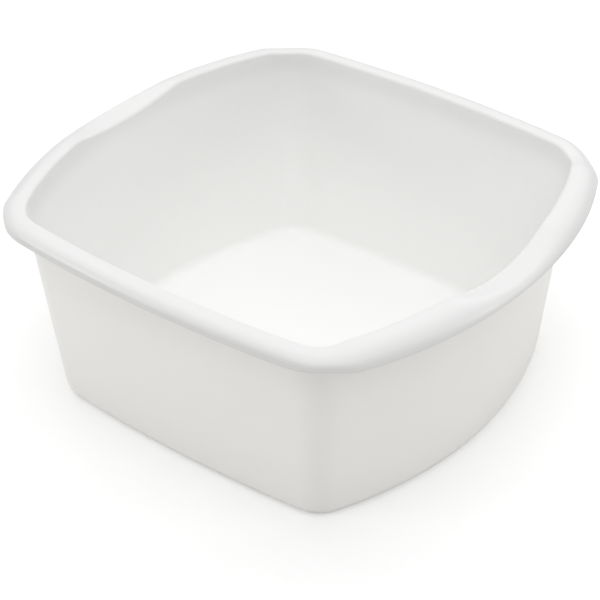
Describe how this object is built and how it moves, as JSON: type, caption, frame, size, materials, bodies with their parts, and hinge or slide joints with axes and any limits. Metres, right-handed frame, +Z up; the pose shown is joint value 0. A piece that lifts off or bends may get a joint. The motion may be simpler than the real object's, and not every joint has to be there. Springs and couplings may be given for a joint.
{
  "type": "washing up bowl",
  "caption": "Rectangular moulded plastic washing up bowl with bowed sides, a rolled rim and a dipped hand grip at each end.",
  "frame": {"origin": "on the surface that the bowl stands on, under the middle of the bowl", "axes": "+Z up out of the mouth, +X along the bowl towards one grip, +Y across it towards a long side"},
  "size_m": [0.3338, 0.3034, 0.141],
  "materials": {
    "bowl_plastic": "smooth moulded polypropylene, white with a faint warm cast, satin"
  },
  "bodies": {
    "root": {"floor_panel": "bowl_plastic", "foot_band": "bowl_plastic", "base_bend": "bowl_plastic", "wall_shell": "bowl_plastic", "rim_front": "bowl_plastic", "rim_back": "bowl_plastic", "grip_left": "bowl_plastic", "grip_right": "bowl_plastic"}
  },
  "joints": []
}
